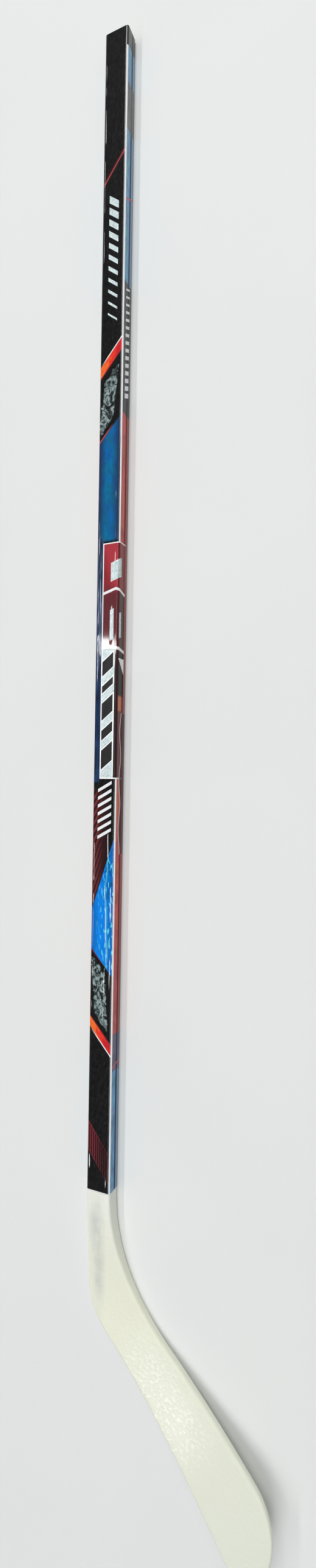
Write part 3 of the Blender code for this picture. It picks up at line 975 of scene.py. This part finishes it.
# %% Blade sizes
BUTT_TO_HEEL = 1.422
RIM_GAP = 0.0003
TURN, FLARE = math.radians(44.1), math.radians(7.0)
HEEL_HEIGHT, BLADE_LENGTH, HEEL_RADIUS = 0.0472, 0.26234, 0.0765
HOSEL_STRAIGHT, CENTRE_RADIUS = 0.0076, 0.100
TOE_TOP, TOE_SOLE, TOE_TIP, TOE_POWER = 0.0545, 0.0220, 0.0334, 1.75
SOLE_LIFT, LIFT_START = 0.0014, 0.200
HEEL_THICKNESS, TOE_THICKNESS, THINNING = 0.0110, 0.0065, 0.120
BLADE_EDGE = 0.0028
HOOK, HOOK_START, HOOK_POWER = 0.0357, 0.030, 1.75
RIM = FILM_END - RIM_GAP
HEEL = Vector((-SHAFT_WIDTH / 2, -BUTT_TO_HEEL))
OUTLINE_STEPS = 90


def along(angle):
    """Straight down the shaft, turned towards the blade by an angle."""
    return Vector((math.sin(angle), -math.cos(angle)))


def across(angle):
    """Square to along, from the outer side to the inner side."""
    return Vector((math.cos(angle), math.sin(angle)))


def blade_point(distance, height):
    """A point by its distance from the heel along the sole, and its height above the sole."""
    return HEEL + distance * along(TURN) + height * across(TURN)


def sole_line(distance):
    return SOLE_LIFT * max(0.0, (distance - LIFT_START) / (BLADE_LENGTH - LIFT_START)) ** 2


def top_line(distance):
    return HEEL_HEIGHT + distance * math.tan(FLARE)


print("blade starts at y", round(RIM, 4))

# %% Draw the outline
def toe_curve(line, length, rising):
    """One half of the round toe."""
    points = []
    for step in range(OUTLINE_STEPS + 1):
        angle = math.pi / 2 * step / OUTLINE_STEPS
        reach = math.sin(angle) ** (2 / TOE_POWER)
        keep = max(0.0, math.cos(angle)) ** (2 / TOE_POWER)
        distance = BLADE_LENGTH - length * (1 - reach)
        points.append(blade_point(distance, TOE_TIP + (line(distance) - TOE_TIP) * keep))
    return points if rising else points[::-1]


def arc(centre, radius, start, turn):
    return [centre - radius * across(start + turn * step / OUTLINE_STEPS)
            for step in range(OUTLINE_STEPS + 1)]


def blade_outline():
    """Down the outer side, round the toe and back up the inner side."""
    heel_centre = HEEL + HEEL_RADIUS * Vector((1, math.tan(TURN / 2)))
    throat_y = RIM - HOSEL_STRAIGHT
    top_start, top_way = blade_point(0, HEEL_HEIGHT), along(TURN + FLARE)
    corner = top_start + top_way * (SHAFT_WIDTH / 2 - top_start.x) / top_way.x
    throat_radius = (throat_y - corner.y) / math.tan((TURN + FLARE) / 2)
    throat_centre = Vector((SHAFT_WIDTH / 2 + throat_radius, throat_y))
    sole = []
    for step in range(OUTLINE_STEPS):
        distance = LIFT_START + (BLADE_LENGTH - TOE_SOLE - LIFT_START) * step / OUTLINE_STEPS
        sole.append(blade_point(distance, sole_line(distance)))
    above = RIM + SHAFT_WIDTH
    return ([Vector((-SHAFT_WIDTH / 2, above))] + arc(heel_centre, HEEL_RADIUS, 0, TURN) + sole
            + toe_curve(sole_line, TOE_SOLE, True) + toe_curve(top_line, TOE_TOP, False)
            + arc(throat_centre, throat_radius, TURN + FLARE, -TURN - FLARE)
            + [Vector((SHAFT_WIDTH / 2, above))])


outline = np.array([tuple(point) for point in blade_outline()])
print("outline points:", len(outline))

# %% [markdown]
# ## The blade: its body
# The blade thins from the shaft's section to about half of it, its edges are rounded, and towards
# the toe it hooks up off the floor. A loft gives full control: rings square to the middle line of
# hosel and blade, whose points take their height from the hook, their thickness from the place
# along the blade, and their rounding from the distance to the outline.

# %% Middle line of the blade
HOSEL_RINGS, BEND_RINGS, BLADE_RINGS, TOE_RINGS = 20, 40, 60, 40
TOE_CUT = 0.0004


def middle_path():
    """Stations from the rim round the bend to the toe's tip, with their directions."""
    tip, half_heel = blade_point(BLADE_LENGTH, TOE_TIP), blade_point(0, HEEL_HEIGHT / 2)
    way = (tip - half_heel).normalized()
    end_turn = math.atan2(way.x, -way.y)
    corner = half_heel - way * half_heel.x / way.x
    bend_centre = Vector((CENTRE_RADIUS, corner.y + CENTRE_RADIUS * math.tan(end_turn / 2)))
    stations = [(Vector((0, RIM + (bend_centre.y - RIM) * step / HOSEL_RINGS)), 0.0)
                for step in range(HOSEL_RINGS)]
    for step in range(BEND_RINGS):
        angle = end_turn * step / BEND_RINGS
        stations.append((bend_centre - CENTRE_RADIUS * across(angle), angle))
    bend_end = bend_centre - CENTRE_RADIUS * across(end_turn)
    length = (tip - bend_end).length - TOE_CUT
    straight = length - TOE_TOP
    stations += [(bend_end + way * straight * step / BLADE_RINGS, end_turn) for step in range(BLADE_RINGS)]
    for step in range(TOE_RINGS + 1):
        reach = straight + (length - straight) * math.sin(math.pi / 2 * step / TOE_RINGS)
        stations.append((bend_end + way * reach, end_turn))
    return stations


print("blade stations:", len(middle_path()))

# %% Blade sections
EDGE_STEPS, FACE_STEPS = 8, 20


def reach_to(place, way):
    """Distance from a place to the outline in one direction."""
    start, step = outline[:-1], np.diff(outline, axis=0)
    offset = start - np.array(place)
    turn = step[:, 0] * way[1] - step[:, 1] * way[0]
    turn = np.where(abs(turn) < 1e-15, 1e-15, turn)
    on_edge = (offset[:, 1] * way[0] - offset[:, 0] * way[1]) / turn
    distance = (offset[:, 1] * step[:, 0] - offset[:, 0] * step[:, 1]) / turn
    return distance[(on_edge >= 0) & (on_edge <= 1) & (distance > 0)].min()


def edge_distance(places):
    """Shortest distance from each place to the outline."""
    start, step = outline[:-1], np.diff(outline, axis=0)
    offset = places[:, None, :] - start
    share = np.clip((offset * step).sum(2) / np.maximum((step ** 2).sum(1), 1e-18), 0, 1)
    return np.linalg.norm(offset - share[:, :, None] * step, axis=2).min(1)


def section_shares(width):
    """Where a ring's points lie across the blade, closer together in its round edges."""
    edge = min(BLADE_EDGE / width, 0.3)
    rounded = [edge * (1 - math.cos(math.pi / 2 * step / EDGE_STEPS)) for step in range(EDGE_STEPS)]
    flat = [edge + (1 - 2 * edge) * step / FACE_STEPS for step in range(FACE_STEPS + 1)]
    return np.array(rounded + flat + [1 - share for share in reversed(rounded)])


def blade_ring(place, angle):
    """A closed ring: over the hollow face from the outer side, and back over the other face."""
    way = across(angle)
    outer = np.array(place - way * reach_to(place, -way))
    inner = np.array(place + way * reach_to(place, way))
    spots = outer + (inner - outer) * section_shares(np.linalg.norm(inner - outer))[:, None]
    distance = (spots - np.array(HEEL)) @ np.array(along(TURN))
    thin = np.clip((RIM - spots[:, 1]) / THINNING, 0, 1)
    thin = thin * thin * (3 - 2 * thin)
    blade = HEEL_THICKNESS + (TOE_THICKNESS - HEEL_THICKNESS) * np.clip(distance / BLADE_LENGTH, 0, 1)
    thick = SHAFT_THICKNESS + (blade - SHAFT_THICKNESS) * thin
    radius = SHAFT_CORNER + (BLADE_EDGE - SHAFT_CORNER) * thin
    inside = np.clip(1 - edge_distance(spots) / radius, 0, 1)
    drop = radius * (1 - np.sqrt(1 - inside ** 2))
    low = BACK + HOOK * np.clip((distance - HOOK_START) / (BLADE_LENGTH - HOOK_START), 0, 1) ** HOOK_POWER
    front = [(*spot, height) for spot, height in zip(spots, low + thick - drop)]
    rear = [(*spot, height) for spot, height in zip(spots, low + drop)]
    return front + rear[::-1]


print("points in a ring:", len(blade_ring(*middle_path()[0])))

# %% [markdown]
# ## The blade: putting it together
# The rings are joined face by face and closed at both ends. The tongue of the shaft needs its
# socket, which is cut with a Boolean from a tapered block, the tongue's own shape with a small
# clearance. The cut comes after the loft, because the socket is a separate, simpler shape.

# %% Loft the blade
TONGUE_LENGTH, TONGUE_TIP_WIDTH, SOCKET_WALL, CLEARANCE = 0.118, 0.014, 0.0030, 0.0003
CUT_MARGIN = 0.02          # how far the block stands out of the hosel's mouth
tongue_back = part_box("core_ply_1")[0].z
tip_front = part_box("core_ply_2")[1].z
tongue_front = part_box("core_ply_5")[1].z


def socket_block():
    """The tongue's tapered shape, a clearance larger all round."""
    shape = bmesh.new()
    bmesh.ops.create_cube(shape, size=2)
    mouth_half = SHAFT_WIDTH / 2 - SOCKET_WALL
    for vertex in shape.verts:
        share = 1 + CLEARANCE / TONGUE_LENGTH if vertex.co.y < 0 else -CUT_MARGIN / TONGUE_LENGTH
        half = mouth_half + (TONGUE_TIP_WIDTH / 2 - mouth_half) * share + CLEARANCE
        front = tongue_front + (tip_front - tongue_front) * share + CLEARANCE
        vertex.co = (math.copysign(half, vertex.co.x), FILM_END - TONGUE_LENGTH * share,
                     front if vertex.co.z > 0 else tongue_back - CLEARANCE)
    return mesh_object("socket_block", shape)


def build_blade():
    shape = bmesh.new()
    rings = [[shape.verts.new(point) for point in blade_ring(place, angle)]
             for place, angle in middle_path()]
    for ring, following in zip(rings, rings[1:]):
        for index in range(len(ring)):
            after = (index + 1) % len(ring)
            shape.faces.new((ring[index], ring[after], following[after], following[index]))
    shape.faces.new(rings[0])
    shape.faces.new(rings[-1])
    bmesh.ops.recalc_face_normals(shape, faces=shape.faces)
    return mesh_object("moulded_blade", shape)


def cut(thing, block):
    """Cut a block out of a thing, and keep the result as its mesh."""
    modifier = thing.modifiers.new("socket", "BOOLEAN")
    modifier.operation = "DIFFERENCE"
    modifier.solver = "EXACT"
    modifier.object = block
    evaluated = thing.evaluated_get(bpy.context.evaluated_depsgraph_get())
    mesh = bpy.data.meshes.new_from_object(evaluated)
    thing.modifiers.clear()
    thing.data = mesh
    bpy.data.objects.remove(block, do_unlink=True)
    smooth(thing, 35)


blade = build_blade()
cut(blade, socket_block())
print("blade faces:", len(blade.data.polygons))

# %% [markdown]
# ## The blade: its plastic
# The blade is moulded in an ivory plastic that lets a little light into it. Its colour is painted
# darker towards the toe, as painted shade for the toe's tilted face that gets less light. Its face
# has a fine pebble grain. At the middle of the blade, where the face mirrors the small blade lamp,
# the pebble crests are painted paler as a painted highlight, and a raised specular level gives more
# shine there without a visible edge. The darker wood of the tongue shows through the thin wall of
# the hosel as a grey-green shape with soft edges. The tongue's shape is taken from its own taper, so
# it stays where the tongue is.

# %% Ivory plastic
IVORY, IVORY_SHADE = (0.832, 0.845, 0.705), (0.812, 0.825, 0.690)
# The colour of the painted shade towards the toe.
PAINTED_TOE_SHADE = (0.700, 0.725, 0.632)
HOSEL_GREY = (0.845, 0.858, 0.798)
TONGUE_SHADOW = (0.565, 0.590, 0.555)
# The colour of the painted glints on the pebble crests.
PAINTED_GLINT = (0.930, 0.940, 0.830)
PEBBLE_HEIGHT = 0.00030                             # metres
# Where the painted toe shade starts, and the stretch along the blade that holds the painted glints.
TOE_SHADE_FROM, GLINT_REACH = 40, (62, 158)               # millimetres from the heel along the blade
GLINT_HEIGHT = 46                                  # millimetres above the sole
SEEN_FROM, SEEN_TO, SEEN_ASIDE = 14, 128, 2.0       # where the tongue shows, from the rim and sideways
TONGUE_HALF = (SHAFT_WIDTH / 2 - SOCKET_WALL) * MILLIMETRES
TIP_HALF = TONGUE_TIP_WIDTH / 2 * MILLIMETRES


def make_ivory():
    material, shader, place = new_material("ivory_plastic")
    x, y, z = parts_of(place)
    sideways, onward = x - HEEL.x * MILLIMETRES, y * -1.0 + HEEL.y * MILLIMETRES
    reach = sideways * math.sin(TURN) + onward * math.cos(TURN)
    above_sole = sideways * math.cos(TURN) - onward * math.sin(TURN)
    mottle = noise(place, (0.02, 0.02, 0.02), detail=4)
    colour = mixed(IVORY, IVORY_SHADE, mottle.rise(0.35, 0.75))
    # Painted shade: the colour grows darker towards the toe, whose tilted face gets less light.
    colour = mixed(colour, PAINTED_TOE_SHADE, reach.rise(TOE_SHADE_FROM, BLADE_LENGTH * MILLIMETRES))
    below = y * -1.0 + RIM * MILLIMETRES
    wander = noise(place, (0.05, 0.02, 0.05), detail=3) * 14.0 - 7.0
    colour = mixed(colour, HOSEL_GREY, (below + wander).rise(95, 10) * 0.8)
    half = TONGUE_HALF - below * ((TONGUE_HALF - TIP_HALF) / (TONGUE_LENGTH * MILLIMETRES))
    beside = (calculate("ABSOLUTE", x + SEEN_ASIDE + wander * 0.12) - half).rise(2.0, -6.0)
    tongue = beside * (below + wander).band(SEEN_FROM, SEEN_TO, 34)
    smudge = noise(place, (0.07, 0.035, 0.07), detail=3).rise(0.30, 0.62)
    colour = mixed(colour, TONGUE_SHADOW, tongue * (smudge * 0.55 + 0.25))
    pebbles = noise(place, (0.30, 0.30, 0.30), detail=2, roughness=0.45)
    # Painted highlight: where the blade lamp's glare falls the pebble crests are painted paler, and the
    # specular level is raised.
    glint_zone = reach.band(*GLINT_REACH, 40) * above_sole.before(GLINT_HEIGHT, 32)
    colour = mixed(colour, PAINTED_GLINT, glint_zone * pebbles.rise(0.55, 0.62) * 0.75)
    fill(shader, Base_Color=colour, Roughness=pebbles * 0.06 + 0.11,
         Specular_IOR_Level=glint_zone * 0.50 + 0.10, Subsurface_Weight=0.35,
         Subsurface_Radius=(0.004, 0.004, 0.004), Subsurface_Scale=1.0)
    bumped(shader, pebbles, PEBBLE_HEIGHT)
    return material


blade.data.materials.clear()
blade.data.materials.append(make_ivory())
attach(blade, "root")
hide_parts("blade")
print("blade dressed")
